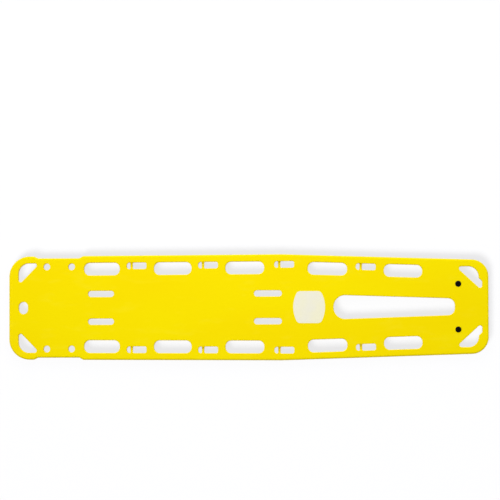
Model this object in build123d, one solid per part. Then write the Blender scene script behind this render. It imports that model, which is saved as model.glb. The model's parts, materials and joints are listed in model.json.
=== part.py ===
from build123d import *
import os
from math import atan2, degrees, hypot, sqrt

# Spine board in millimetres. X runs from the head end to the foot end, Y to the patient's left and Z up.
# The origin is the middle of the footprint, at the level of the lowest point of the skid feet.

# Plan of the board
board_width = 405.0
head_width = 395.0
neck_width = 380.0
shoulder_width = 397.0
foot_width = 356.0
head_corner_radius = 78.0
foot_corner_radius = 65.0
neck_head_margin = 34.0
neck_foot_margin = 29.0
neck_step_run = 15.0

# Openings along each side and the lands between them, in their order from the head end to the foot end.
# Together they make the length of the board.
head_corner_rim = 35.0
head_corner_length = 82.0
neck_hole_land = 14.0
neck_hole_diameter = 26.0
neck_hole_pitch = 95.0
handhold_land = 34.5
handhold_lengths = (137.0, 144.0, 148.0, 150.0, 146.0)
handhold_gaps = (130.5, 130.0, 166.0, 140.0)
foot_corner_land = 127.0
foot_corner_length = 101.0
foot_corner_rim = 24.0

# Shape of those openings
rim_width = 26.5
grip_lip = 3.0
corner_spare = 2.0
handhold_height = 48.5
handhold_radius = 22.0
neck_hole_rim = 33.0
head_corner_depth = 85.0
head_corner_hole_radius = 40.0
foot_corner_depth = 93.0
foot_corner_hole_radius = 40.0
foot_corner_step = 13.0
foot_corner_step_setback = 44.0
corner_step_radius = 4.0
corner_tip_radius = 8.5

# Strap slots, each a little off the middle of the gap between two hand holes
strap_slot_shifts = (-1.0, -2.0, -7.0, 1.0)
strap_slot_length = 76.0
strap_slot_height = 25.5
strap_slot_bevel = 6.0

# Openings near the centre line
head_hole_height = 36.0
head_hole_length = 47.0
head_hole_setback = 54.0
centre_slot_land = 3.0
centre_slot_height = 24.0
shoulder_slot_length = 100.0
shoulder_slot_shift = -3.5
hip_slot_length = 107.0
hip_slot_gap = 197.0
leg_slot_length = 462.0
leg_slot_setback = 128.0
leg_slot_head_width = 94.0
leg_slot_foot_width = 63.0
leg_slot_head_radius = 44.0
leg_slot_foot_radius = 27.0

# Section of the board
slab_thickness = 28.0
skin_wall = 3.5
edge_wall = 5.0
deck_edge_radius = 7.0
under_edge_bevel = 4.0
foam_clearance = 0.3

# Runners under the slab
runner_depth = 17.0
runner_width = 38.0
runner_land = 7.1
runner_head_setback = 55.0
runner_foot_setback = 138.0
runner_ramp_run = 21.0
runner_edge_radius = 5.0

# Strap pins
pin_diameter = 9.5
pin_root_flare = 5.0
pin_sides = 12
pin_setback = 19.0
pin_tenon_width = 8.0
pin_seat_depth = 6.0
pin_seat_end_wall = 2.5
pin_clearance = 0.2

# Stiffener rods
rod_diameter = 14.0
rod_end_gap = 8.0
rod_floor_gap = 1.0
rod_clearance = 0.2

# Skid feet and their fasteners
foot_length = 37.0
foot_proud = 1.5
foot_tip_height = 1.5
foot_bulge = 3.2
foot_side_clearance = 0.5
screw_head_diameter = 23.0
screw_head_height = 2.2
screw_diameter = 6.0
screw_setback = 14.5
screw_clearance = 0.3
nut_across_flats = 10.0
nut_height = 3.2
nut_depth = 4.5
nut_clearance = 0.1

# Filling port and label
plug_diameter = 20.0
plug_clearance = 0.2
label_length = 121.0
label_width = 122.0
label_side_bulge = 17.0
label_radius = 18.0
label_thickness = 0.4
label_shift = 5.5

# Levels, and places along the board, that follow from the sizes above
head_block = head_corner_rim + head_corner_length + neck_hole_land
neck_block = neck_hole_diameter + neck_hole_pitch + handhold_land
foot_block = foot_corner_land + foot_corner_length + foot_corner_rim
board_length = head_block + neck_block + sum(handhold_lengths) + sum(handhold_gaps) + foot_block
head_end = -board_length / 2
foot_end = board_length / 2
neck_hole_x = head_end + head_block + neck_hole_diameter / 2
first_handhold = head_end + head_block + neck_block
neck_head = neck_hole_x - neck_head_margin
neck_foot = neck_hole_x + neck_hole_pitch + neck_foot_margin
shoulder_x = neck_foot + neck_step_run
leg_slot_foot = foot_end - leg_slot_setback
leg_slot_head = leg_slot_foot - leg_slot_length
hip_slot_foot = leg_slot_head - hip_slot_gap
widest_x = hip_slot_foot
runner_head = head_end + runner_head_setback
runner_foot = foot_end - runner_foot_setback
screw_x = runner_foot + foot_length - screw_setback
screw_hole_diameter = screw_diameter + 2 * screw_clearance
runner_bottom = foot_proud
slab_bottom = runner_bottom + runner_depth
deck = slab_bottom + slab_thickness
pin_level = slab_bottom + slab_thickness / 2
rod_level = runner_bottom + skin_wall + rod_floor_gap + rod_diameter / 2
nut_top = slab_bottom - nut_depth
overshoot = 1.0


def edge_run(x):
    """Both ends of the straight run of the long edge that x lies on, between the neck and the foot end."""
    widest = (widest_x, board_width / 2)
    if x < widest_x:
        return (shoulder_x, shoulder_width / 2), widest
    return widest, (foot_end, foot_width / 2)


def half_width(x):
    """Distance from the centre line to the long edge at x."""
    (x1, y1), (x2, y2) = edge_run(x)
    return y1 + (x - x1) * (y2 - y1) / (x2 - x1)


def edge_angle(x):
    """Angle of the long edge at x."""
    (x1, y1), (x2, y2) = edge_run(x)
    return degrees(atan2(y2 - y1, x2 - x1))


def handhold_middles():
    """Middle of each hand hole along the board."""
    start = first_handhold
    middles = []
    for length, gap in zip(handhold_lengths, handhold_gaps + (foot_corner_land,)):
        middles.append(start + length / 2)
        start += length + gap
    return middles


def runner_y():
    """Distance of the runners from the centre line, a land inside the innermost hand hole."""
    inner = min(half_width(x) for x in handhold_middles()) - rim_width - handhold_height
    return inner - runner_land - runner_width / 2


def polygon(corners, square=False):
    """A face from (x, y, radius) corners, with its corners left square on request."""
    points = [(x, y) for x, y, _ in corners]
    if square:
        return make_face(Polyline(*points, close=True))
    return make_face(FilletPolyline(*points, radius=[radius for _, _, radius in corners], close=True))


def mirrored(shape):
    """The same shape on the patient's right."""
    return mirror(shape, about=Plane.XZ)


def both_sides(shapes):
    return shapes + [mirrored(shape) for shape in shapes]


def prism(plan, low, high):
    """A plan carried up from one level to another."""
    return extrude(Pos(0, 0, low) * plan, high - low)


def upright(place, diameter, low, high):
    """A round bar standing at a place in the plan."""
    return prism(Location(place) * Circle(diameter / 2), low, high)


def outline(inset):
    """Plan of the board, drawn in by an inset."""
    left_side = [
        (head_end, head_width / 2, head_corner_radius),
        (neck_head - neck_step_run, head_width / 2, 0),
        (neck_head, neck_width / 2, 0),
        (neck_foot, neck_width / 2, 0),
        (shoulder_x, shoulder_width / 2, 0),
        (widest_x, board_width / 2, 0),
        (foot_end, foot_width / 2, foot_corner_radius),
    ]
    right_side = [(x, -y, radius) for x, y, radius in reversed(left_side)]
    plan = polygon(left_side + right_side)
    return offset(plan, amount=-inset, kind=Kind.INTERSECTION) if inset else plan


# Plans of the openings. Each is larger by grow all round, and square in its corners where it is
# the inner face of the wall round the opening instead of the opening itself.

def beside_edge(x, height):
    """Where a side opening of this height lies at x, turned along the long edge."""
    return Location((x, half_width(x) - rim_width - height / 2), edge_angle(x))


def handholds(grow=0.0, square=False):
    radius = min(handhold_radius, handhold_height / 2 - corner_spare)
    plans = []
    for x, length in zip(handhold_middles(), handhold_lengths):
        plan = Rectangle(length + 2 * grow, handhold_height + 2 * grow)
        if not square:
            plan = fillet(plan.vertices(), radius + grow)
        plans.append(beside_edge(x, handhold_height) * plan)
    return plans


def strap_slot_places():
    """Middle of each strap slot, between two hand holes."""
    places = []
    for x, length, gap, shift in zip(handhold_middles(), handhold_lengths, handhold_gaps, strap_slot_shifts):
        places.append(beside_edge(x + (length + gap) / 2 + shift, strap_slot_height))
    return places


def strap_slots(grow=0.0, square=False):
    plan = Rectangle(strap_slot_length + 2 * grow, strap_slot_height + 2 * grow)
    if not square:
        plan = chamfer(plan.vertices(), strap_slot_bevel)
    return [place * plan for place in strap_slot_places()]


def corner_hole(end, side, along, down, radius, step, outward, grow, square):
    """A three-cornered hand hole with two sides along the corner of the board and one across it.

    A step draws its outer corner in from the end of the board, as far as the setback down that side.
    """
    across = hypot(along, down)
    along_tip = (across + along) / down
    down_tip = (across + down) / along
    room = min(along - step - corner_tip_radius * along_tip, down - corner_tip_radius * down_tip)
    far_x = end - outward * (along + grow * along_tip)
    far_y = side - down - grow * down_tip
    near_x, near_y = end + outward * grow, side + grow
    tip = corner_tip_radius + grow
    if square or not step:
        corner = [(near_x, near_y, min(radius, room - corner_spare) + grow)]
    else:
        inner_x = near_x - outward * step
        step_y = side - foot_corner_step_setback + grow * (sqrt(2) - 1)
        room = min(room, foot_corner_step_setback - corner_step_radius)
        corner = [
            (near_x, step_y - step, corner_step_radius + grow),
            (inner_x, step_y, max(corner_step_radius - grow, corner_spare / 2)),
            (inner_x, near_y, min(radius, room) + grow),
        ]
    return polygon(corner + [(far_x, near_y, tip), (near_x, far_y, tip)], square)


def corner_holes(grow=0.0, square=False):
    head_x, head_y = head_end + head_corner_rim, head_width / 2 - rim_width
    foot_x = foot_end - foot_corner_rim
    foot_y = half_width(foot_x - foot_corner_length / 2) - rim_width
    head = (head_x, head_y, head_corner_length, head_corner_depth, head_corner_hole_radius, 0, -1)
    foot = (
        foot_x, foot_y, foot_corner_length, foot_corner_depth,
        foot_corner_hole_radius, foot_corner_step, 1,
    )
    return [corner_hole(*sizes, grow, square) for sizes in (head, foot)]


def round_hole(place, diameter, grow, square):
    """A round hole, or the eight-sided wall that encloses it."""
    if square:
        return Location(place) * RegularPolygon(diameter / 2 + grow, 8, major_radius=False)
    return Location(place) * Circle(diameter / 2 + grow)


def neck_hole_places():
    return [(x, neck_width / 2 - neck_hole_rim) for x in (neck_hole_x, neck_hole_x + neck_hole_pitch)]


def neck_holes(grow=0.0, square=False):
    return [round_hole(place, neck_hole_diameter, grow, square) for place in neck_hole_places()]


def round_ended(length, height, grow, square):
    """A slot with half-round ends."""
    if square:
        return Rectangle(length + 2 * grow, height + 2 * grow)
    return SlotOverall(length + 2 * grow, height + 2 * grow)


def centre_slots(grow=0.0, square=False):
    """The shoulder and hip slots, a land inside the runner."""
    y = runner_y() - runner_width / 2 - centre_slot_land - centre_slot_height / 2
    shoulder_slot_x = handhold_middles()[0] + shoulder_slot_shift
    hip_slot_x = hip_slot_foot - hip_slot_length / 2
    places = ((shoulder_slot_x, shoulder_slot_length), (hip_slot_x, hip_slot_length))
    return [Pos(x, y) * round_ended(length, centre_slot_height, grow, square) for x, length in places]


def head_hole(grow=0.0, square=False):
    """The oval hole in the middle of the head end, longer across the board."""
    plan = round_ended(head_hole_length, head_hole_height, grow, square)
    return Pos(head_end + head_hole_setback, 0) * Rot(0, 0, 90) * plan


def leg_slot(grow=0.0, square=False):
    """The long opening between the legs, narrower towards the foot end."""
    head_radius = min(leg_slot_head_radius, leg_slot_head_width / 2 - corner_spare) + grow
    foot_radius = min(leg_slot_foot_radius, leg_slot_foot_width / 2 - corner_spare) + grow
    wide, narrow = leg_slot_head_width / 2 + grow, leg_slot_foot_width / 2 + grow
    head, foot = leg_slot_head - grow, leg_slot_foot + grow
    corners = [
        (head, -wide, head_radius),
        (foot, -narrow, foot_radius),
        (foot, narrow, foot_radius),
        (head, wide, head_radius),
    ]
    return polygon(corners, square)


def tunnels():
    """Every opening right through the board, with a flared lip at the deck round the large ones."""
    one_side = handholds() + strap_slots() + corner_holes() + neck_holes() + centre_slots()
    plans = both_sides(one_side) + [head_hole(), leg_slot()]
    straight = [prism(plan, -overshoot, deck + overshoot) for plan in plans]
    flared = both_sides(handholds(grip_lip) + corner_holes(grip_lip)) + [leg_slot(grip_lip)]
    return straight + [extrude(Pos(0, 0, deck) * plan, -grip_lip, taper=45) for plan in flared]


def tunnel_walls(grow):
    """The walls that join deck and underside round each opening, thicker where the strap pins seat."""
    seat = grow + pin_seat_depth + pin_seat_end_wall - skin_wall
    one_side = (
        handholds(grow, True) + strap_slots(seat, True) + corner_holes(grow, True)
        + neck_holes(grow, True) + centre_slots(grow, True)
    )
    columns = [round_hole(place, screw_hole_diameter, grow, True) for place in screw_places()]
    plans = both_sides(one_side) + [head_hole(grow, True), leg_slot(grow, True)] + columns
    return [prism(plan, 0, deck) for plan in plans]


def screw_places():
    return [(screw_x, side * runner_y()) for side in (1, -1)]


def ramp_x(z, inset):
    """Where the ramp at the head end of the runners is at a level, drawn in by an inset."""
    slope = hypot(runner_ramp_run, runner_depth)
    return runner_head + (runner_ramp_run * (slab_bottom - z) + inset * slope) / runner_depth


def runner(side, inset):
    """One runner: ramped at the head end, square at the foot end, rounded along its lower edges."""
    low, high = runner_bottom + inset, slab_bottom + inset
    if inset:
        high += overshoot
    head = [(ramp_x(high, inset), high), (ramp_x(low, inset), low)]
    foot = [(runner_foot - inset, low), (runner_foot - inset, high)]
    profile = make_face(Polyline(*head, *foot, close=True))
    body = extrude(Plane.XZ * profile, runner_width / 2 - inset, both=True)
    if not inset:
        body = fillet(body.edges().filter_by(Axis.X).group_by(Axis.Z)[0], runner_edge_radius)
    return Pos(0, side * runner_y(), 0) * body


def block(inset):
    """Slab and runners in one, drawn in by an inset."""
    if inset:
        slab = prism(outline(inset + edge_wall - skin_wall), slab_bottom + inset, deck - inset)
    else:
        slab = prism(outline(0), slab_bottom, deck)
        slab = chamfer(slab.edges().group_by(Axis.Z)[0], under_edge_bevel)
        slab = fillet(slab.edges().group_by(Axis.Z)[-1], deck_edge_radius)
    return slab + [runner(side, inset) for side in (1, -1)]


def hollow(inset):
    """The space inside the skin, which runs round the walls of the openings."""
    return block(inset) - tunnel_walls(inset)


def pin_places():
    """Place of each strap pin on the patient's left, with Y along the pin."""
    return [place * Pos(pin_setback - strap_slot_length / 2, 0, pin_level) for place in strap_slot_places()]


def pin_sockets():
    width = pin_tenon_width + 2 * pin_clearance
    socket = Box(width, strap_slot_height + 2 * pin_seat_depth, width)
    return both_sides([place * socket for place in pin_places()])


def plug_place():
    """The filling port is between the strap slots nearest to the head end."""
    return (strap_slot_places()[0].position.X, 0)


def board_shell():
    """The moulded skin: outer form less its hollow, with the tunnels, sockets and ports."""
    ports = [upright(place, screw_hole_diameter, 0, deck + overshoot) for place in screw_places()]
    ports.append(upright(plug_place(), plug_diameter + 2 * plug_clearance, 0, slab_bottom + edge_wall))
    return block(0) - tunnels() - hollow(skin_wall) - ports - pin_sockets()


def rod(side, grow=0.0):
    """A stiffener rod lying in a runner."""
    head = ramp_x(rod_level - rod_diameter / 2, skin_wall) + rod_end_gap
    foot = runner_foot - skin_wall - rod_end_gap
    bar = Rot(0, 90, 0) * Cylinder(rod_diameter / 2 + grow, foot - head + 2 * grow)
    return Pos((head + foot) / 2, side * runner_y(), rod_level) * bar


def foam_core():
    return hollow(skin_wall + foam_clearance) - [rod(side, rod_clearance) for side in (1, -1)]


def strap_pin():
    """A bar as long as the slot is high, which widens at both roots, with a square tenon at each end."""
    waist = pin_diameter / 2
    root = strap_slot_height / 2
    neck = root - pin_root_flare
    widest = waist + pin_root_flare
    radii = {-root: widest, -neck: waist, neck: waist, root: widest}
    sections = [Plane.XZ.offset(y) * RegularPolygon(radius, pin_sides) for y, radius in radii.items()]
    bar = loft(sections, ruled=True)
    reach = strap_slot_height + 2 * (pin_seat_depth - pin_clearance)
    return bar + Box(pin_tenon_width, reach, pin_tenon_width)


def hexagon(across_flats):
    return Location((screw_x, 0)) * RegularPolygon(across_flats / 2, 6, major_radius=False)


def skid_foot():
    """A rubber wedge with a bulged slope, under the slab and against the end of the runner."""
    heel, toe = runner_foot, runner_foot + foot_length
    tip = slab_bottom - foot_tip_height
    slope = hypot(foot_length, tip)
    middle = ((heel + toe) / 2 + foot_bulge * tip / slope, tip / 2 - foot_bulge * foot_length / slope)
    profile = make_face([
        Polyline((heel, 0), (heel, slab_bottom), (toe, slab_bottom), (toe, tip)),
        ThreePointArc((toe, tip), middle, (heel, 0)),
    ])
    body = extrude(Plane.XZ * profile, runner_width / 2 - foot_side_clearance, both=True)
    pocket = prism(hexagon(nut_across_flats + 2 * nut_clearance), -overshoot, nut_top)
    return body - pocket - upright((screw_x, 0), screw_hole_diameter, 0, deck)


def skid_nut():
    """A thin hexagon nut, up in the pocket of the wedge."""
    nut = prism(hexagon(nut_across_flats), nut_top - nut_height, nut_top)
    return nut - upright((screw_x, 0), screw_diameter + nut_clearance, 0, deck)


def skid_screw():
    """A screw with a wide flat head on the deck and its end level with the nut."""
    shank = upright((screw_x, 0), screw_diameter, nut_top - nut_height, deck)
    return shank + upright((screw_x, 0), screw_head_diameter, deck, deck + screw_head_height)


def foam_fill_plug():
    """A disc welded into the filling port, flush with the underside."""
    return upright(plug_place(), plug_diameter, slab_bottom, slab_bottom + skin_wall)


def label_plate():
    """The bare barrel-shaped label between the hip slots and the leg slot, a little nearer to the feet."""
    side, edge = label_length / 2, label_width / 2
    corner = side - label_side_bulge
    plan = make_face([
        Line((-corner, edge), (corner, edge)),
        ThreePointArc((corner, edge), (side, 0), (corner, -edge)),
        Line((corner, -edge), (-corner, -edge)),
        ThreePointArc((-corner, -edge), (-side, 0), (-corner, edge)),
    ])
    plan = fillet(plan.vertices(), label_radius)
    middle = (hip_slot_foot + leg_slot_head) / 2 + label_shift
    return prism(Pos(middle, 0) * plan, deck, deck + label_thickness)


def pieces():
    """Every piece of the board by name."""
    made = {
        "board_shell": board_shell(),
        "foam_core": foam_core(),
        "foam_fill_plug": foam_fill_plug(),
        "label_plate": label_plate(),
    }
    for name, side in (("left", 1), ("right", -1)):
        place = Pos(0, side * runner_y(), 0)
        made[f"stiffener_rod_{name}"] = rod(side)
        made[f"skid_foot_{name}"] = place * skid_foot()
        made[f"skid_nut_{name}"] = place * skid_nut()
        made[f"skid_screw_{name}"] = place * skid_screw()
    for number, place in enumerate(pin_places(), 1):
        made[f"strap_pin_left_{number}"] = place * strap_pin()
        made[f"strap_pin_right_{number}"] = mirrored(place * strap_pin())
    return made


os.makedirs("parts", exist_ok=True)
for name, piece in pieces().items():
    export_step(piece, f"parts/{name}.step")
    print(name, round(piece.volume), "mm3", len(piece.solids()), "solid", piece.is_valid)
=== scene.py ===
import json
import math

import bmesh
import bpy
from mathutils import Matrix, Vector


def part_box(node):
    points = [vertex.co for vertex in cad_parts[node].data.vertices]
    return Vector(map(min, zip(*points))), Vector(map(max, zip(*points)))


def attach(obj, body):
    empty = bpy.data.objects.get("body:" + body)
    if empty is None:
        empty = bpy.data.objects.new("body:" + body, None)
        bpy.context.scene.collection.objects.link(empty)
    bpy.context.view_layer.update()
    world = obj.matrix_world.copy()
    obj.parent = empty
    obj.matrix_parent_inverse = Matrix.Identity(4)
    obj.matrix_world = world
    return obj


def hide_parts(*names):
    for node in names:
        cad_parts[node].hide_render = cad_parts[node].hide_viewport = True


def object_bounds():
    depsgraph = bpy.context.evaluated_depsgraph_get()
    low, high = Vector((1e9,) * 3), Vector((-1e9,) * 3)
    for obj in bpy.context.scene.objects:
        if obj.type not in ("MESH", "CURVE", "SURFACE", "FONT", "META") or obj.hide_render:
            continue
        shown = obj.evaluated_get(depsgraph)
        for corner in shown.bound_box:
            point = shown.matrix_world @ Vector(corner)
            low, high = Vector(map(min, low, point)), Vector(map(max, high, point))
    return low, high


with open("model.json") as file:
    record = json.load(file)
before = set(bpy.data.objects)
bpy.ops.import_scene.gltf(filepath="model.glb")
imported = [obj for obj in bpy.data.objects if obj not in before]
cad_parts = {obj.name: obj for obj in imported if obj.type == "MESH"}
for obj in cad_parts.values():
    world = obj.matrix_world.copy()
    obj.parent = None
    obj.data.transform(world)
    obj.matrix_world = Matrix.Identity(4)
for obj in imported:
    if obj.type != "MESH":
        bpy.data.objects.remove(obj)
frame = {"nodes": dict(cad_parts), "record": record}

bl_info = {
    "name": "Spine Board Dresser",
    "version": (1, 0, 0),
    "blender": (4, 5, 0),
    "location": "3D View > Sidebar > Spine Board",
    "description": "Dresses the packed spine board with moulded plastic, rubber and a plain studio",
    "category": "Object",
}

MM = 0.001
CAD_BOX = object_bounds()
SHELL_LOW, SHELL_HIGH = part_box("board_shell")
RECORD = frame["record"]
SIDES = ("left", "right")
PINS = tuple(f"strap_pin_{side}_{number}" for side in SIDES for number in range(1, 5))
OPENING_STEPS = 14
OUTLINE_STEPS = 28
PIN_RINGS = 73
PIN_SIDES = 56


def length(name, millimetres, description):
    """A size property, kept in metres."""
    return bpy.props.FloatProperty(
        name=name, description=description, default=millimetres * MM, subtype="DISTANCE", unit="LENGTH"
    )


def colour(name, red, green, blue, description):
    return bpy.props.FloatVectorProperty(
        name=name, description=description, default=(red, green, blue, 1),
        size=4, min=0, max=1, subtype="COLOR",
    )


def amount(name, default, description):
    return bpy.props.FloatProperty(name=name, description=description, default=default, min=0)


def turn(name, degrees, description):
    return bpy.props.FloatProperty(
        name=name, description=description, default=math.radians(degrees), subtype="ANGLE", unit="ROTATION"
    )


class BOARD_PG_plan(bpy.types.PropertyGroup):
    """Sizes of the board seen from above."""

    head_width: length("Head width", 395, "Width across the head end")
    neck_width: length("Neck width", 380, "Width across the neck")
    shoulder_width: length("Shoulder width", 397, "Width just behind the neck")
    foot_width: length("Foot width", 356, "Width across the foot end, before its corners")
    head_radius: length("Head corner radius", 78, "Radius of the two corners at the head end")
    foot_radius: length("Foot corner radius", 65, "Radius of the two corners at the foot end")
    waist_radius: length("Widest place radius", 300, "Radius of the soft bend where the board is widest")
    step_radius: length("Neck step radius", 11, "Radius of the bends at both ends of the neck")
    step_run: length("Neck step run", 15, "How far a step of the neck takes along the board")
    neck_head_margin: length("Neck margin to the head", 34, "Neck beyond the middle of the first neck hole")
    neck_foot_margin: length("Neck margin to the feet", 29, "Neck beyond the middle of the last neck hole")
    rim_width: length("Rim width", 26.5, "Plastic between an opening and the long edge")
    handhold_lengths: bpy.props.FloatVectorProperty(
        name="Hand hole lengths", description="Length of each hand hole, from the head end to the foot end",
        default=(0.137, 0.144, 0.148, 0.150, 0.146), size=5, unit="LENGTH",
    )
    handhold_height: length("Hand hole height", 48.5, "Height of the hand holes across the board")
    handhold_radius: length("Hand hole radius", 22, "Corner radius of the hand holes")
    strap_slot_length: length("Strap slot length", 76, "Length of the side slots that hold the pins")
    strap_slot_height: length("Strap slot height", 25.5, "Height of the side slots across the board")
    strap_slot_head_radius: length("Strap slot head radius", 11, "Corner radius of a side slot by its pin")
    strap_slot_foot_radius: length("Strap slot foot radius", 7.5, "Corner radius at a side slot's free end")
    pin_setback: length("Pin setback", 19, "Distance of a pin from the head end of its slot")
    neck_hole_diameter: length("Neck hole diameter", 26, "Diameter of the round holes beside the neck")
    head_hole_length: length("Head hole length", 47, "Size of the oval hole across the board")
    head_hole_height: length("Head hole height", 36, "Size of the oval hole along the board")
    centre_slot_height: length("Centre slot height", 24, "Height of the shoulder and hip slots")
    shoulder_slot_length: length("Shoulder slot length", 100, "Length of the slots under the shoulders")
    hip_slot_length: length("Hip slot length", 107, "Length of the slots under the hips")
    leg_slot_length: length("Leg slot length", 462, "Length of the opening between the legs")
    leg_slot_setback: length("Leg slot setback", 128, "Plastic between that opening and the foot end")
    leg_slot_head_width: length("Leg slot head width", 94, "Width of that opening at its wide end")
    leg_slot_foot_width: length("Leg slot foot width", 63, "Width of that opening at its narrow end")
    leg_slot_head_radius: length("Leg slot head radius", 44, "Corner radius at the wide end")
    leg_slot_foot_radius: length("Leg slot foot radius", 27, "Corner radius at the narrow end")
    head_corner_rim: length("Head corner rim", 35, "Plastic between the head end and its corner holes")
    head_corner_length: length("Head corner hole length", 82, "Length of a head corner hole")
    head_corner_depth: length("Head corner hole depth", 85, "Depth of a head corner hole across the board")
    head_corner_radius: length("Head corner hole radius", 40, "Outer corner radius of a head corner hole")
    foot_corner_rim: length("Foot corner rim", 24, "Plastic between the foot end and its corner holes")
    foot_corner_length: length("Foot corner hole length", 101, "Length of a foot corner hole")
    foot_corner_depth: length("Foot corner hole depth", 93, "Depth of a foot corner hole across the board")
    foot_corner_radius: length("Foot corner hole radius", 40, "Outer corner radius of a foot corner hole")
    foot_corner_step: length("Foot corner hole step", 13, "How far that corner stands in from the hole's end")
    foot_corner_step_setback: length("Foot corner step setback", 44, "How far down the hole that step begins")
    corner_step_radius: length("Corner step radius", 4, "Radius of both bends of that step")
    corner_tip_radius: length("Corner hole tip radius", 8.5, "Radius of the two sharp tips of a corner hole")


class BOARD_PG_section(bpy.types.PropertyGroup):
    """Sizes of the board seen from the side."""

    slab_thickness: length("Slab thickness", 28, "Thickness of the board without its runners")
    deck_rounding: length("Deck edge rounding", 7, "Rounding of the long edge at the deck")
    under_rounding: length("Underside edge rounding", 4, "Rounding of the long edge underneath")
    grip_rounding: length("Grip rounding", 3, "Rounding of the large openings at the deck")
    slot_rounding: length("Slot rounding", 1.6, "Rounding of the small openings at the deck")
    under_opening_rounding: length("Opening rounding underneath", 1.2, "Rounding of every opening underneath")
    wall_draft: length("Wall draft", 0.3, "How far the outer wall leans in away from the parting line")
    parting_bead: length("Parting bead", 0.25, "Height of the bead that the mould leaves along the edge")
    bead_width: length("Parting bead width", 1.4, "Width of that bead")
    support: length("Flat border", 0.8, "Flat border that keeps the deck's shading even by a rounding")
    runner_width: length("Runner width", 38, "Width of a runner")
    runner_setback: length("Runner setback", 55, "Distance of the runners from the head end")
    runner_ramp: length("Runner ramp", 21, "Length of the ramp at the head end of a runner")
    runner_rounding: length("Runner rounding", 5, "Rounding of the lower edges of a runner")
    runner_sink: length("Runner sink", 0.4, "How far a runner is let into the slab")
    pin_diameter: length("Pin diameter", 9.5, "Diameter of the strap pins at their waist")
    pin_flare: length("Pin flare", 5, "Radius of the bend in which a pin widens into the wall")
    pin_bite: length("Pin bite", 0.6, "How far a pin goes on inside the wall")
    screw_shank: length("Screw shank", 6, "Diameter of the screws below their heads")
    screw_socket: length("Screw socket", 5, "Size across the flats of the socket in a screw head")
    socket_depth: length("Screw socket depth", 1.7, "Depth of that socket")


class BOARD_PG_finish(bpy.types.PropertyGroup):
    """Colours and surface of the pieces."""

    plastic: colour("Plastic", 1.0, 0.81, 0.0004, "Colour of the moulded board")
    # Painted shade: the deeper colour the board takes down its walls and underneath, where shade falls; it is
    # also the colour of the faint flow marks.
    plastic_flow_and_shade: colour("Warm plastic", 0.99, 0.68, 0.0004, "Its deeper colour on the walls and underneath")
    plastic_roughness: amount("Plastic roughness", 0.42, "Roughness of the moulded board")
    # Painted light: the pins get a paler, brighter yellow than the board, so they look as bright as the deck
    # though they sit in the shade of their slots.
    pin: colour("Pin", 1.0, 0.84, 0.001, "Colour of the strap pins")
    rubber: colour("Rubber", 0.010, 0.010, 0.011, "Colour of the skid feet")
    screw: colour("Screw", 0.003, 0.003, 0.003, "Colour of the screw heads")
    nut: colour("Nut", 0.62, 0.61, 0.57, "Colour of the plated nuts")
    label: colour("Label", 0.945, 0.91, 0.655, "Colour of the bare label")
    label_shade: colour("Label shade", 0.91, 0.885, 0.735, "Its colour where it lies a little thicker")
    foam: colour("Foam", 0.82, 0.71, 0.45, "Colour of the foam inside the board")
    rod: colour("Rod", 0.50, 0.52, 0.44, "Colour of the stiffener rods")


class BOARD_PG_stage(bpy.types.PropertyGroup):
    """Camera, lamps and floor."""

    view_span: length("View span", 1908, "Width of what the camera sees at the deck")
    aim_x: length("Aim along", 7.1, "Where the camera looks, along the board")
    aim_y: length("Aim across", 218.6, "Where the camera looks, across the board")
    camera_distance: length("Camera distance", 12000, "Distance of the camera from the deck")
    lean_foot: turn("Lean to the feet", 2.0, "How far the camera stands towards the foot end")
    lean_right: turn("Lean to the right", 2.4, "How far the camera stands towards the patient's right")
    roll: turn("Roll", -0.14, "Turn of the board in the picture")
    sky_strength: amount("Sky strength", 0.95, "Level of the light from all round")
    zenith_share: amount("Zenith share", 0.05, "Share of that light that comes from straight above")
    key_power: amount("Key power", 43, "Power of the large soft lamp over the board, in watts")
    floor_lamp_strength: amount("Floor lamp strength", 14, "Level of the lamp that draws the board's shadow")
    floor_glow: amount("Floor glow", 0.785, "Level of the floor to the camera, before any lamp")


class Value:
    """A socket that takes part in sums, each of which adds a Math node."""

    def __init__(self, nodes, socket):
        self.nodes, self.socket = nodes, socket

    def sum(self, operation, first, second):
        return self.nodes.node("ShaderNodeMath", {"operation": operation}, {0: first, 1: second})

    def __add__(self, other):
        return self.sum("ADD", self, other)

    def __sub__(self, other):
        return self.sum("SUBTRACT", self, other)

    def __rsub__(self, other):
        return self.sum("SUBTRACT", other, self)

    def __mul__(self, other):
        return self.sum("MULTIPLY", self, other)

    def __pow__(self, other):
        return self.sum("POWER", self, other)

    __radd__ = __add__
    __rmul__ = __mul__


class Nodes:
    """A node tree of any kind, filled node by node."""

    def __init__(self, tree):
        self.tree = tree
        tree.nodes.clear()

    def node(self, kind, settings=None, sockets=None, output=0):
        """Adds a node with its settings, then the values or links of its sockets, and returns one output."""
        made = self.tree.nodes.new(kind)
        for name, setting in (settings or {}).items():
            setattr(made, name, setting)
        for name, value in (sockets or {}).items():
            if isinstance(value, Value):
                self.tree.links.new(value.socket, made.inputs[name])
            else:
                made.inputs[name].default_value = value
        return Value(self, made.outputs[output]) if made.outputs else made

    def spread(self, value, low, high, to_low=0.0, to_high=1.0):
        """Stretches the part of a value between two limits over a new range."""
        return self.node(
            "ShaderNodeMapRange", {"clamp": True},
            {"Value": value, "From Min": low, "From Max": high, "To Min": to_low, "To Max": to_high},
        )


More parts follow.
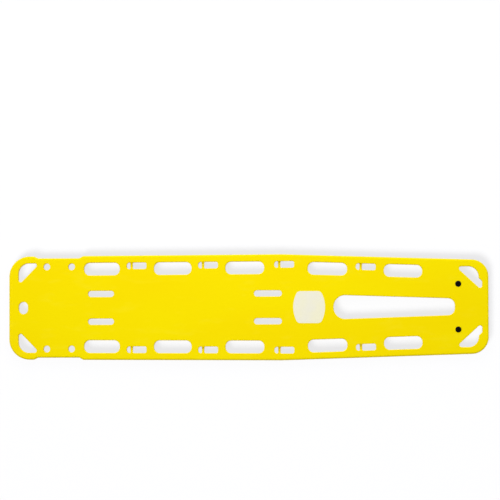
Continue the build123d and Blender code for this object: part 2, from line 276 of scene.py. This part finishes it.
class Finish(Nodes):
    """The node tree of a material or of the world."""

    def __init__(self, owner):
        owner.use_nodes = True
        super().__init__(owner.node_tree)
        self.owner = owner

    def place(self, stretch=(1, 1, 1)):
        """Object coordinates, stretched."""
        spot = self.node("ShaderNodeTexCoord", output="Object")
        return self.node("ShaderNodeMapping", None, {"Vector": spot, "Scale": stretch})

    def noise(self, scale, detail=3.0, stretch=(1, 1, 1)):
        """Noise between 0 and 1 with so many ripples to the metre."""
        return self.node(
            "ShaderNodeTexNoise", None, {"Vector": self.place(stretch), "Scale": scale, "Detail": detail}
        )

    def mix(self, factor, first, second):
        """One colour turning into another."""
        return self.node("ShaderNodeMix", {"data_type": "RGBA"}, {0: factor, 6: first, 7: second}, 2)

    def bump(self, height, depth):
        """A relief of so many metres from a height between 0 and 1."""
        return self.node("ShaderNodeBump", None, {"Height": height, "Distance": depth})

    def surface(self, **sockets):
        """The plastic, rubber or metal surface that ends a material."""
        names = {name.replace("_", " "): value for name, value in sockets.items()}
        shader = self.node("ShaderNodeBsdfPrincipled", None, names)
        self.node("ShaderNodeOutputMaterial", None, {"Surface": shader})
        return self.owner


def material(name):
    return Finish(bpy.data.materials.new(name))


def moulded_plastic(name, base, flow_and_shade, roughness, grain_depth):
    """Polyethylene out of the mould: a soft grain, faint flow marks, a few rubbed patches, and painted shade
    that deepens the colour down the walls and underneath.
    """
    finish = material(name)
    flow = finish.noise(2.2, 2.0, (1, 2.2, 1))
    rubbed = finish.spread(finish.noise(34, 5.0, (0.35, 1, 1)), 0.56, 0.72)
    scratch = finish.spread(finish.noise(420, 2.0, (0.06, 1, 1)), 0.68, 0.74)
    grain = finish.noise(1500, 2.0)
    ripple = finish.noise(75, 2.0)
    height = finish.node("ShaderNodeSeparateXYZ", None, {"Vector": finish.place()}, "Z")
    # Painted shade: the colour deepens from just below the deck down to the underside, standing in for the
    # shade on the walls, runners and pins.
    lower = finish.spread(height, SHELL_HIGH.z - 2 * MM, SHELL_LOW.z, 0.0, 0.75)
    tone_and_shade = finish.mix(finish.spread(flow, 0.35, 0.65, 0.0, 0.25) + lower, base, flow_and_shade)
    return finish.surface(
        Base_Color=finish.mix(rubbed * 0.08, tone_and_shade, (1.0, 0.88, 0.05, 1)),
        Roughness=roughness + rubbed * 0.10 - scratch * rubbed * 0.12,
        Specular_IOR_Level=0.15,
        Specular_Tint=(1.0, 0.85, 0.15, 1),
        Normal=finish.bump(grain * 0.5 + ripple * 1.6 - scratch * rubbed * 0.4, grain_depth),
    )


def skid_rubber(base):
    """Cured rubber with a fine grain and a little dust."""
    finish = material("skid_rubber")
    dust = finish.spread(finish.noise(60, 5.0), 0.45, 0.8)
    return finish.surface(
        Base_Color=finish.mix(dust * 0.35, base, (0.05, 0.048, 0.045, 1)),
        Roughness=finish.spread(dust, 0, 1, 0.62, 0.85),
        Normal=finish.bump(finish.noise(2600, 3.0), 0.00006),
    )


def coated_screw(base):
    """Black coated steel, a little worn."""
    finish = material("coated_screw")
    worn = finish.spread(finish.noise(700, 4.0), 0.6, 0.8)
    return finish.surface(
        Base_Color=finish.mix(worn * 0.12, base, (0.03, 0.03, 0.03, 1)),
        Roughness=finish.spread(worn, 0, 1, 0.50, 0.38),
        Specular_IOR_Level=0.06,
        Normal=finish.bump(finish.noise(1800, 2.0), 0.00002),
    )


def plated_nut(base):
    """Zinc plated steel with the cloudy look of the bath."""
    finish = material("plated_nut")
    cloud = finish.noise(240, 4.0)
    return finish.surface(
        Base_Color=finish.mix(cloud, base, (0.52, 0.50, 0.44, 1)),
        Metallic=1.0,
        Roughness=finish.spread(cloud, 0.3, 0.7, 0.25, 0.45),
        Normal=finish.bump(finish.noise(1500, 3.0), 0.00002),
    )


def label_film(base, shade):
    """A bare film that lies a little unevenly on the plastic."""
    finish = material("label_film")
    cloud = finish.spread(finish.noise(14, 3.0), 0.35, 0.68)
    return finish.surface(
        Base_Color=finish.mix(cloud, base, shade),
        Roughness=finish.spread(cloud, 0, 1, 0.34, 0.46),
        Specular_IOR_Level=0.2,
        Normal=finish.bump(finish.noise(120, 2.0), 0.00008),
    )


def rigid_foam(base):
    """Cut polyurethane foam with open cells."""
    finish = material("rigid_foam")
    cells = finish.node("ShaderNodeTexVoronoi", {"feature": "F1"}, {"Vector": finish.place(), "Scale": 700.0})
    return finish.surface(
        Base_Color=finish.mix(finish.spread(cells, 0.2, 0.7), base, (0.62, 0.50, 0.28, 1)),
        Roughness=finish.spread(cells, 0.0, 1.0, 0.85, 0.98),
        Normal=finish.bump(1 - cells, 0.0004),
    )


def pultruded_rod(base):
    """Glass fibre drawn lengthwise."""
    finish = material("pultruded_rod")
    fibres = finish.noise(1600, 4.0, (0.02, 1, 1))
    return finish.surface(
        Base_Color=finish.mix(finish.spread(fibres, 0.35, 0.65), base, (0.36, 0.38, 0.31, 1)),
        Roughness=finish.spread(fibres, 0.3, 0.7, 0.35, 0.55),
        Normal=finish.bump(fibres, 0.00005),
    )


def floor_paper(glow_level):
    """White paper that stays white to the camera and keeps the board's shadow."""
    finish = material("floor_paper")
    tooth = finish.noise(260, 3.0)
    dark, pale = (0.048, 0.048, 0.048, 1), (0.052, 0.052, 0.052, 1)
    shade = finish.node("ShaderNodeBsdfDiffuse", None, {"Color": finish.mix(tooth, dark, pale)})
    camera = finish.node("ShaderNodeLightPath", output="Is Camera Ray")
    strength = finish.spread(camera, 0, 1, glow_level * 0.35, glow_level)
    glow = finish.node("ShaderNodeEmission", None, {"Color": (0.985, 0.985, 1, 1), "Strength": strength})
    both = finish.node("ShaderNodeAddShader", None, {0: shade, 1: glow})
    finish.node("ShaderNodeOutputMaterial", None, {"Surface": both})
    return finish.owner


def middle_of(name):
    """Middle of an opening in the plan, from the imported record."""
    for opening in RECORD["physics"]["openings"]:
        if opening["name"] == name:
            low, high = opening["box_m"]
            return Vector(((low[0] + high[0]) / 2, (low[1] + high[1]) / 2))
    raise RuntimeError(f"the record has no opening named {name}")


def mount(name):
    for entry in RECORD["mounts"]:
        if entry["name"] == name:
            return entry
    raise RuntimeError(f"the record has no mount named {name}")


def middle_of_node(name):
    low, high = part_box(name)
    return (low + high) / 2


def ring(corners, grow, steps):
    """Points round (point, radius) corners that turn left, moved outwards by grow, with steps to a corner."""
    points = []
    count = len(corners)
    ways = [(corners[(i + 1) % count][0] - corners[i][0]).normalized() for i in range(count)]
    for i, (corner, radius) in enumerate(corners):
        way_in, way_out = ways[i - 1], ways[i]
        out_in, out_out = Vector((way_in.y, -way_in.x)), Vector((way_out.y, -way_out.x))
        angle = math.atan2(way_in.cross(way_out), way_in.dot(way_out))
        side = 1 if angle > 0 else -1
        bend = max(radius + side * grow, 0.01 * MM)
        moved = corner + (out_in + out_out) * (grow / (1 + out_in.dot(out_out)))
        start = moved - way_in * bend * math.tan(abs(angle) / 2)
        centre = start - out_in * side * bend
        for step in range(steps + 1):
            spoke = Matrix.Rotation(angle * step / steps, 2) @ (out_in * side * bend)
            points.append(centre + spoke)
    return points


def rectangle(middle, run, rise, head_radius, foot_radius, angle=0.0):
    """Corners of a rectangle, turned about its middle."""
    spin = Matrix.Rotation(angle, 2)
    spots = ((-1, -1, head_radius), (1, -1, foot_radius), (1, 1, foot_radius), (-1, 1, head_radius))
    return [(middle + spin @ Vector((x * run / 2, y * rise / 2)), radius) for x, y, radius in spots]


def half_round(size):
    """The corner radius of a round end, just under half its size so that no side has length 0."""
    return size / 2 - 0.02 * MM


def mirrored(corners):
    return [(Vector((point.x, -point.y)), radius) for point, radius in reversed(corners)]


def widest_x(plan):
    return middle_of("hip_slot_left").x + plan.hip_slot_length / 2


def board_outline(plan):
    """Corners of the board, turning left round it."""
    head, foot = SHELL_LOW.x, SHELL_HIGH.x
    neck = mount("neck_holes")
    reach = neck["dims"]["spacing_x_mm"] * MM / 2
    neck_head = neck["pos_m"][0] - reach - plan.neck_head_margin
    neck_foot = neck["pos_m"][0] + reach + plan.neck_foot_margin
    left = [
        (Vector((foot, plan.foot_width / 2)), plan.foot_radius),
        (Vector((widest_x(plan), SHELL_HIGH.y)), plan.waist_radius),
        (Vector((neck_foot + plan.step_run, plan.shoulder_width / 2)), plan.step_radius),
        (Vector((neck_foot, plan.neck_width / 2)), plan.step_radius),
        (Vector((neck_head, plan.neck_width / 2)), plan.step_radius),
        (Vector((neck_head - plan.step_run, plan.head_width / 2)), plan.step_radius),
        (Vector((head, plan.head_width / 2)), plan.head_radius),
    ]
    return left + mirrored(left)


def long_edge(plan, x):
    """Half the width at x and the angle of the long edge there, for the patient's left."""
    foot, widest, shoulder = (point for point, _ in board_outline(plan)[:3])
    start, end = (shoulder, widest) if x < widest.x else (widest, foot)
    slope = (end.y - start.y) / (end.x - start.x)
    return start.y + (x - start.x) * slope, math.atan(slope)


def head_corner_hole(plan):
    """Corners of the three-cornered hole at the head end, turning left."""
    end, side = SHELL_LOW.x + plan.head_corner_rim, plan.head_width / 2 - plan.rim_width
    return [
        (Vector((end, side)), plan.head_corner_radius),
        (Vector((end, side - plan.head_corner_depth)), plan.corner_tip_radius),
        (Vector((end + plan.head_corner_length, side)), plan.corner_tip_radius),
    ]


def foot_corner_hole(plan):
    """Corners of the hole at the foot end, whose outer corner stands in by a step."""
    end = SHELL_HIGH.x - plan.foot_corner_rim
    side = long_edge(plan, end - plan.foot_corner_length / 2)[0] - plan.rim_width
    inner, step = end - plan.foot_corner_step, side - plan.foot_corner_step_setback
    return [
        (Vector((end, side - plan.foot_corner_depth)), plan.corner_tip_radius),
        (Vector((end, step - plan.foot_corner_step)), plan.corner_step_radius),
        (Vector((inner, step)), plan.corner_step_radius),
        (Vector((inner, side)), plan.foot_corner_radius),
        (Vector((end - plan.foot_corner_length, side)), plan.corner_tip_radius),
    ]


def handholds(plan):
    """Corners of the hand holes on the patient's left."""
    holes = []
    for number, run in enumerate(plan.handhold_lengths, 1):
        middle = middle_of(f"hand_hole_left_{number}")
        angle = long_edge(plan, middle.x)[1]
        radius = plan.handhold_radius
        holes.append(rectangle(middle, run, plan.handhold_height, radius, radius, angle))
    return holes


def strap_slots(plan):
    """Corners of the side slots on the patient's left, each with a pin across it."""
    slots = []
    for number in range(1, 5):
        pin = middle_of_node(f"strap_pin_left_{number}").xy
        angle = long_edge(plan, pin.x)[1]
        middle = pin + Matrix.Rotation(angle, 2) @ Vector((plan.strap_slot_length / 2 - plan.pin_setback, 0))
        slots.append(rectangle(
            middle, plan.strap_slot_length, plan.strap_slot_height,
            plan.strap_slot_head_radius, plan.strap_slot_foot_radius, angle,
        ))
    return slots


def small_round_ends(plan):
    """Corners of the shoulder and hip slots and of the neck holes on the patient's left."""
    height, size = plan.centre_slot_height, plan.neck_hole_diameter
    slots = {"shoulder_slot_left": plan.shoulder_slot_length, "hip_slot_left": plan.hip_slot_length}
    holes = []
    for name, run in slots.items():
        holes.append(rectangle(middle_of(name), run, height, half_round(height), half_round(height)))
    for name in ("neck_hole_left_1", "neck_hole_left_2"):
        holes.append(rectangle(middle_of(name), size, size, half_round(size), half_round(size)))
    return holes


def leg_slot(plan):
    foot = SHELL_HIGH.x - plan.leg_slot_setback
    head = foot - plan.leg_slot_length
    wide, narrow = plan.leg_slot_head_width / 2, plan.leg_slot_foot_width / 2
    return [
        (Vector((head, -wide)), plan.leg_slot_head_radius),
        (Vector((foot, -narrow)), plan.leg_slot_foot_radius),
        (Vector((foot, narrow)), plan.leg_slot_foot_radius),
        (Vector((head, wide)), plan.leg_slot_head_radius),
    ]


def head_hole(plan):
    """Corners of the oval hole at the head end, longer across the board."""
    run, rise = plan.head_hole_height, plan.head_hole_length
    return rectangle(middle_of("head_hole"), run, rise, half_round(run), half_round(run))


def quarter(rounding, level, down, steps):
    """(draw in, level) of a quarter round into a wall; down is -1 at the deck and 1 underneath."""
    angles = [math.pi / 2 * step / steps for step in range(steps + 1)]
    return [
        (rounding * (1 - math.sin(angle)), level + down * rounding * (1 - math.cos(angle)))
        for angle in angles
    ]


def wall_rings(mesh, corners, profile, steps):
    """Rings of vertices down a wall, joined by faces. Returns the edges of the first and the last ring."""
    rings = []
    for grow, level in profile:
        rings.append([mesh.verts.new((point.x, point.y, level)) for point in ring(corners, grow, steps)])
    count = len(rings[0])
    for upper, lower in zip(rings, rings[1:]):
        for i in range(count):
            j = (i + 1) % count
            mesh.faces.new((upper[i], lower[i], lower[j], upper[j])).smooth = True
    ends = []
    for verts in (rings[0], rings[-1]):
        ends.append([mesh.edges.get((verts[i], verts[(i + 1) % count])) for i in range(count)])
    return ends


def runner_block(mesh, section, y, foot_x, slab_bottom):
    """One runner: a ramped bar with rounded lower edges, let a little into the slab."""
    head = SHELL_LOW.x + section.runner_setback
    floor_level, top = SHELL_LOW.z, slab_bottom + section.runner_sink
    overhang = section.runner_ramp * section.runner_sink / (slab_bottom - floor_level)
    profile = (
        (head - overhang, top), (head + section.runner_ramp, floor_level),
        (foot_x, floor_level), (foot_x, top),
    )
    half = section.runner_width / 2
    near, far = ([mesh.verts.new((x, y + side * half, z)) for x, z in profile] for side in (-1, 1))
    mesh.faces.new(near)
    mesh.faces.new(list(reversed(far)))
    for i in range(4):
        j = (i + 1) % 4
        mesh.faces.new((near[j], near[i], far[i], far[j]))
    soft = [mesh.edges.get((near[1], far[1]))]
    for verts in (near, far):
        soft += [mesh.edges.get((verts[0], verts[1])), mesh.edges.get((verts[1], verts[2]))]
    made = bmesh.ops.bevel(
        mesh, geom=soft, offset=section.runner_rounding, segments=8, profile=0.5, affect="EDGES",
        clamp_overlap=True,
    )
    for face in made["faces"]:
        face.smooth = True


def new_object(name, data):
    made = bpy.data.objects.new(name, data)
    bpy.context.scene.collection.objects.link(made)
    return made


def add_piece(name, data, surface):
    data.materials.clear()
    data.materials.append(surface)
    return new_object(name, data)


def finish_mesh(mesh, name, surface):
    """Closes a bmesh into an object with its faces outwards."""
    merge = 0.002 * MM
    bmesh.ops.remove_doubles(mesh, verts=mesh.verts, dist=merge)
    bmesh.ops.dissolve_degenerate(mesh, edges=mesh.edges, dist=merge)
    bmesh.ops.recalc_face_normals(mesh, faces=mesh.faces)
    data = bpy.data.meshes.new(name)
    mesh.to_mesh(data)
    mesh.free()
    return add_piece(name, data, surface)


def smooth_round(data, limit):
    """Shades a mesh smooth, apart from edges sharper than the limit."""
    mesh = bmesh.new()
    mesh.from_mesh(data)
    for face in mesh.faces:
        face.smooth = True
    for edge in mesh.edges:
        edge.smooth = len(edge.link_faces) == 2 and edge.calc_face_angle(0) < limit
    mesh.to_mesh(data)
    mesh.free()


def dress(piece, slot, *nodes):
    """The piece stands for CAD nodes and rides on the board; the slot is not used."""
    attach(piece, "root")
    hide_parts(*nodes)


def paint(node, surface):
    """Gives a CAD node its finished material."""
    data = frame["nodes"][node].data
    data.materials.clear()
    data.materials.append(surface)


class PieceTree(Nodes):
    """A Geometry Nodes tree with named sizes, which is baked to a plain mesh."""

    def __init__(self, name, sizes):
        super().__init__(bpy.data.node_groups.new(name, "GeometryNodeTree"))
        self.sizes = sizes
        face = self.tree.interface
        face.new_socket("Geometry", in_out="INPUT", socket_type="NodeSocketGeometry")
        face.new_socket("Geometry", in_out="OUTPUT", socket_type="NodeSocketGeometry")
        self.keys = {}
        for label in sizes:
            made = face.new_socket(label, in_out="INPUT", socket_type="NodeSocketFloat")
            self.keys[label] = made.identifier

    def given(self, label):
        """One of the tree's inputs."""
        return self.node("NodeGroupInput", output=label)

    def on_points(self, model, surface):
        """Sets a model on each point, turned as the point says, and ends the tree."""
        dots = self.node("GeometryNodeMeshToPoints", None, {"Mesh": self.given("Geometry")})
        facing = self.node("GeometryNodeInputNamedAttribute", {"data_type": "FLOAT_VECTOR"}, {"Name": "turn"})
        copies = self.node(
            "GeometryNodeInstanceOnPoints", None, {"Points": dots, "Instance": model, "Rotation": facing}
        )
        solid = self.node("GeometryNodeRealizeInstances", None, {"Geometry": copies})
        painted = self.node("GeometryNodeSetMaterial", None, {"Geometry": solid, "Material": surface})
        self.node("NodeGroupOutput", None, {"Geometry": painted})

    def bake(self, name, places):
        """Runs the tree on (place, angle) points and returns one plain object."""
        points = bpy.data.meshes.new(name)
        points.from_pydata([place for place, _ in places], [], [])
        turns = points.attributes.new("turn", "FLOAT_VECTOR", "POINT")
        for item, (_, angle) in zip(turns.data, places):
            item.vector = (0, 0, angle)
        carrier = new_object(name, points)
        modifier = carrier.modifiers.new("Nodes", "NODES")
        modifier.node_group = self.tree
        for label, value in self.sizes.items():
            modifier[self.keys[label]] = value
        graph = bpy.context.evaluated_depsgraph_get()
        data = bpy.data.meshes.new_from_object(carrier.evaluated_get(graph))
        bpy.data.objects.remove(carrier)
        return new_object(name, data)


class BOARD_OT_shell(bpy.types.Operator):
    """Mould the board: slab, openings and runners"""

    bl_idname = "spine_board.shell"
    bl_label = "Moulded shell"

    def execute(self, context):
        plan, section, finish = (getattr(context.scene, name) for name in GROUPS[:3])
        deck = SHELL_HIGH.z
        slab_bottom = deck - section.slab_thickness
        mesh = bmesh.new()
        deck_edges, low_edges = [], []
        walls = []
        for corners, rounding in self.openings(plan, section):
            profile = self.opening_profile(section, rounding, deck, slab_bottom)
            walls.append((corners, profile, OPENING_STEPS))
        walls.append((board_outline(plan), self.edge_profile(section, deck, slab_bottom), OUTLINE_STEPS))
        for corners, profile, steps in walls:
            first, last = wall_rings(mesh, corners, profile, steps)
            deck_edges += first
            low_edges += last
        for edges in (deck_edges, low_edges):
            bmesh.ops.triangle_fill(mesh, use_beauty=True, use_dissolve=False, edges=edges)
        foot_x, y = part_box("skid_foot_left")[0].x, middle_of_node("skid_foot_left").y
        for side in (1, -1):
            runner_block(mesh, section, side * y, foot_x, slab_bottom)
        surface = moulded_plastic(
            "yellow_polyethylene", finish.plastic, finish.plastic_flow_and_shade, finish.plastic_roughness, 0.05 * MM
        )
        dress(finish_mesh(mesh, "moulded_shell", surface), "yellow_hdpe", "board_shell")
        paint("foam_fill_plug", surface)
        return {"FINISHED"}

    def openings(self, plan, section):
        """Corners of every opening with its rounding at the deck."""
        large = handholds(plan) + [head_corner_hole(plan), foot_corner_hole(plan)]
        small = strap_slots(plan) + small_round_ends(plan)
        large += [mirrored(corners) for corners in large] + [leg_slot(plan)]
        small += [mirrored(corners) for corners in small] + [head_hole(plan)]
        return [(corners, section.grip_rounding) for corners in large] + [
            (corners, section.slot_rounding) for corners in small
        ]

    def opening_profile(self, section, rounding, deck, slab_bottom):
        """The wall of an opening, rounded into the deck and into the underside."""
        low = section.under_opening_rounding
        profile = [(rounding + section.support, deck)] + quarter(rounding, deck, -1, 7)
        return profile + quarter(low, slab_bottom, 1, 4)[::-1] + [(low + section.support, slab_bottom)]

    def edge_profile(self, section, deck, slab_bottom):
        """The outer wall: rounded to the deck, a bead at the parting line and a small rounding underneath."""
        draft, bead, half = section.wall_draft, section.parting_bead, section.bead_width / 2
        upper = quarter(section.deck_rounding - draft, deck, -1, 10)
        lower = quarter(section.under_rounding - draft, slab_bottom, 1, 6)[::-1]
        parting = (upper[-1][1] + lower[0][1]) / 2
        profile = [(-(section.deck_rounding + section.support), deck)]
        profile += [(-draft - inset, level) for inset, level in upper]
        profile += [(-bead, parting + half), (0, parting + half / 3)]
        profile += [(0, parting - half / 3), (-bead, parting - half)]
        profile += [(-draft - inset, level) for inset, level in lower]
        return profile + [(-(section.under_rounding + section.support), slab_bottom)]


class BOARD_OT_pins(bpy.types.Operator):
    """Set the strap pins across the side slots"""

    bl_idname = "spine_board.pins"
    bl_label = "Strap pins"

    def execute(self, context):
        plan, section, finish = (getattr(context.scene, name) for name in GROUPS[:3])
        places = []
        for node in PINS:
            middle = middle_of_node(node)
            angle = long_edge(plan, middle.x)[1]
            places.append((middle, angle if middle.y > 0 else -angle))
        # The pins' brighter yellow is painted light against the shade of the slots; the board's plastic
        # serves as their painted shade lower down.
        surface = moulded_plastic("pin_nylon", finish.pin, finish.plastic, 0.32, 0.03 * MM)
        tree = PieceTree("strap_pins", {
            "Waist": section.pin_diameter / 2, "Slot": plan.strap_slot_height,
            "Flare": section.pin_flare, "Bite": section.pin_bite,
        })
        tree.on_points(self.flared_bar(tree), surface)
        pins = tree.bake("strap_pins", places)
        smooth_round(pins.data, math.radians(50))
        dress(pins, "pin_nylon", *PINS)
        return {"FINISHED"}

    def flared_bar(self, tree):
        """A round bar across the slot that swells into the wall at both ends and goes on a little inside."""
        root = tree.given("Slot") * 0.5
        end = root + tree.given("Bite")
        low = tree.node("ShaderNodeCombineXYZ", None, {"Y": 0 - end})
        high = tree.node("ShaderNodeCombineXYZ", None, {"Y": end})
        line = tree.node("GeometryNodeCurvePrimitiveLine", None, {"Start": low, "End": high})
        line = tree.node("GeometryNodeResampleCurve", None, {"Curve": line, "Count": PIN_RINGS})
        spot = tree.node("GeometryNodeInputPosition")
        along = tree.node("ShaderNodeSeparateXYZ", None, {"Vector": spot}, "Y")
        away = tree.node("ShaderNodeMath", {"operation": "ABSOLUTE"}, {0: along})
        share = tree.spread(away, root - tree.given("Flare"), root)
        swell = 1 - (1 - share * share) ** 0.5
        radius = tree.given("Waist") + tree.given("Flare") * swell
        circle = tree.node("GeometryNodeCurvePrimitiveCircle", None, {"Resolution": PIN_SIDES, "Radius": 1.0})
        return tree.node(
            "GeometryNodeCurveToMesh", None,
            {"Curve": line, "Profile Curve": circle, "Scale": radius, "Fill Caps": True},
        )


class BOARD_OT_screws(bpy.types.Operator):
    """Drive the screws of the skid feet"""

    bl_idname = "spine_board.screws"
    bl_label = "Skid screws"
    turns = (0.35, 0.8)

    def execute(self, context):
        section, finish = context.scene.board_section, context.scene.board_finish
        surface = coated_screw(finish.screw)
        low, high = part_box("skid_screw_left")
        screw = self.turned_screw(section, low, high, surface)
        tree = PieceTree("skid_screws", {})
        model = tree.node("GeometryNodeObjectInfo", None, {"Object": screw}, "Geometry")
        tree.on_points(model, surface)
        places = []
        for side, angle in zip(SIDES, self.turns):
            middle = middle_of_node(f"skid_screw_{side}")
            places.append((Vector((middle.x, middle.y, SHELL_HIGH.z)), angle))
        screws = tree.bake("skid_screws", places)
        bpy.data.objects.remove(screw)
        dress(screws, "black_screw", "skid_screw_left", "skid_screw_right")
        return {"FINISHED"}

    def turned_screw(self, section, low, high, surface):
        """A screw with a low rounded head, a hexagon socket and a plain shank; the deck is at level 0."""
        rim, top, end = (high.x - low.x) / 2, high.z - SHELL_HIGH.z, low.z - SHELL_HIGH.z
        shank, flat = section.screw_shank / 2, section.screw_socket / 2
        mesh = bmesh.new()
        tip = 0.5 * MM
        head_curve = ((0.2, 0), (0, 0.2), (0, 0.8), (0.4, 1.3), (1.4, 1.75), (3.2, 2.05))
        rows = [(shank - tip, end), (shank, end + tip), (shank, 0)]
        rows += [(rim - inset * MM, level * MM) for inset, level in head_curve]
        rows += [(rim - 5.5 * MM, top)]
        sides = 48
        rings = [[self.spoke(mesh, radius, level, i / sides) for i in range(sides)] for radius, level in rows]
        for level in (top, top - section.socket_depth):
            rings.append([self.hexagon_spoke(mesh, flat, level, i / sides) for i in range(sides)])
        for lower, upper in zip(rings, rings[1:]):
            for i in range(sides):
                j = (i + 1) % sides
                mesh.faces.new((lower[i], lower[j], upper[j], upper[i]))
        mesh.faces.new(rings[-1])
        mesh.faces.new(rings[0][::-1])
        piece = finish_mesh(mesh, "turned_screw", surface)
        smooth_round(piece.data, math.radians(32))
        return piece

    def spoke(self, mesh, radius, level, share):
        angle = 2 * math.pi * share
        return mesh.verts.new((radius * math.cos(angle), radius * math.sin(angle), level))

    def hexagon_spoke(self, mesh, flat, level, share):
        """A point on a hexagon of that half width across its flats."""
        within = (2 * math.pi * share + math.pi / 6) % (math.pi / 3) - math.pi / 6
        return self.spoke(mesh, flat / math.cos(within), level, share)


class BOARD_OT_fittings(bpy.types.Operator):
    """Finish the pieces that keep their CAD shape"""

    bl_idname = "spine_board.fittings"
    bl_label = "Feet, label and inner pieces"

    def execute(self, context):
        finish = context.scene.board_finish
        rubber, nut, rod = skid_rubber(finish.rubber), plated_nut(finish.nut), pultruded_rod(finish.rod)
        for side in SIDES:
            paint(f"skid_foot_{side}", rubber)
            paint(f"skid_nut_{side}", nut)
            paint(f"stiffener_rod_{side}", rod)
        paint("label_plate", label_film(finish.label, finish.label_shade))
        paint("foam_core", rigid_foam(finish.foam))
        return {"FINISHED"}


class BOARD_OT_stage(bpy.types.Operator):
    """Set up the floor, the lamps and the camera"""

    bl_idname = "spine_board.stage"
    bl_label = "Studio"

    def execute(self, context):
        stage = context.scene.board_stage
        context.scene.view_settings.view_transform = "Standard"
        floor = self.floor(stage)
        self.sky(context, stage)
        self.key_lamp(stage)
        self.floor_lamp(stage, floor)
        self.camera(context, stage)
        return {"FINISHED"}

    def floor(self, stage):
        half, level = 14.0, CAD_BOX[0].z - 0.1 * MM
        data = bpy.data.meshes.new("floor")
        corners = [(-half, -half, level), (half, -half, level), (half, half, level), (-half, half, level)]
        data.from_pydata(corners, [], [(0, 1, 2, 3)])
        floor = add_piece("floor", data, floor_paper(stage.floor_glow))
        return floor

    def sky(self, context, stage):
        """Even light from all round, weaker straight above, and plain white to the camera."""
        world = bpy.data.worlds.new("studio_sky")
        context.scene.world = world
        finish = Finish(world)
        way = finish.node("ShaderNodeTexCoord", output="Generated")
        bright_side, white = (-0.35, 0.90, 0.25), (1, 1, 1, 1)
        toward = finish.node(
            "ShaderNodeVectorMath", {"operation": "DOT_PRODUCT"}, {0: way, 1: bright_side}, "Value"
        )
        height = finish.node("ShaderNodeSeparateXYZ", None, {"Vector": way}, "Z")
        across = finish.spread(toward, -1, 1, 0.62, 1.38)
        level = across * finish.spread(height, 0.62, 0.93, 1.0, stage.zenith_share)
        strength = level * stage.sky_strength
        glow = finish.node("ShaderNodeBackground", None, {"Strength": strength, "Color": white})
        plain = finish.node("ShaderNodeBackground", None, {"Strength": 1.0, "Color": white})
        camera = finish.node("ShaderNodeLightPath", output="Is Camera Ray")
        both = finish.node("ShaderNodeMixShader", None, {0: camera, 1: glow, 2: plain})
        finish.node("ShaderNodeOutputWorld", None, {"Surface": both})

    def add_lamp(self, name, kind, toward):
        """A lamp that shines along a direction."""
        lamp = new_object(name, bpy.data.lights.new(name, kind))
        lamp.rotation_mode = "QUATERNION"
        lamp.rotation_quaternion = Vector(toward).to_track_quat("-Z", "Y")
        return lamp

    def key_lamp(self, stage):
        """A large soft lamp beyond the patient's left, near the middle of the board."""
        place = Vector((-0.22, 1.80, 2.40))
        lamp = self.add_lamp("soft_key", "AREA", -place)
        lamp.location = place
        lamp.data.energy, lamp.data.size = stage.key_power, 2.0

    def floor_lamp(self, stage, floor):
        """A soft sun for the floor alone, so that the board's shadow falls to its left and its feet."""
        lamp = self.add_lamp("floor_lamp", "SUN", (0.36, 0.62, -1))
        lamp.data.energy, lamp.data.angle = stage.floor_lamp_strength, math.radians(26)
        receivers = bpy.data.collections.new("floor_only")
        receivers.objects.link(floor)
        lamp.light_linking.receiver_collection = receivers

    def camera(self, context, stage):
        """A long lens almost straight above, so that the walls that face the feet and the right just show."""
        data = bpy.data.cameras.new("camera")
        data.sensor_width = 36.0
        data.lens = data.sensor_width * stage.camera_distance / stage.view_span
        data.clip_end = 100.0
        camera = new_object("camera", data)
        away = Vector((math.tan(stage.lean_foot), -math.tan(stage.lean_right), 1)).normalized()
        up = (Matrix.Rotation(stage.roll, 3, "Z") @ Vector((0, 1, 0))).normalized()
        right = up.cross(away).normalized()
        up = away.cross(right)
        place = Vector((stage.aim_x, stage.aim_y, SHELL_HIGH.z)) + away * stage.camera_distance
        camera.matrix_world = Matrix.Translation(place) @ Matrix((right, up, away)).transposed().to_4x4()
        context.scene.camera = camera


class BOARD_PT_panel(bpy.types.Panel):
    """Lists the steps that dress the board, with their sizes and colours."""

    bl_label = "Spine Board"
    bl_idname = "BOARD_PT_panel"
    bl_space_type = "VIEW_3D"
    bl_region_type = "UI"
    bl_category = "Spine Board"

    def draw(self, context):
        for step in STEPS:
            self.layout.operator(step.bl_idname)
        for name in GROUPS:
            group = getattr(context.scene, name)
            box = self.layout.box()
            for prop in group.bl_rna.properties:
                if prop.identifier not in ("name", "rna_type"):
                    box.prop(group, prop.identifier)


GROUPS = ("board_plan", "board_section", "board_finish", "board_stage")
GROUP_TYPES = (BOARD_PG_plan, BOARD_PG_section, BOARD_PG_finish, BOARD_PG_stage)
STEPS = (BOARD_OT_shell, BOARD_OT_pins, BOARD_OT_screws, BOARD_OT_fittings, BOARD_OT_stage)


def register():
    for item in (*GROUP_TYPES, *STEPS, BOARD_PT_panel):
        bpy.utils.register_class(item)
    for name, group in zip(GROUPS, GROUP_TYPES):
        setattr(bpy.types.Scene, name, bpy.props.PointerProperty(type=group))


def unregister():
    for name in GROUPS:
        delattr(bpy.types.Scene, name)
    for item in reversed((*GROUP_TYPES, *STEPS, BOARD_PT_panel)):
        bpy.utils.unregister_class(item)


def main():
    register()
    for step in STEPS:
        getattr(bpy.ops.spine_board, step.bl_idname.split(".")[1])()


if __name__ == "__main__":
    main()
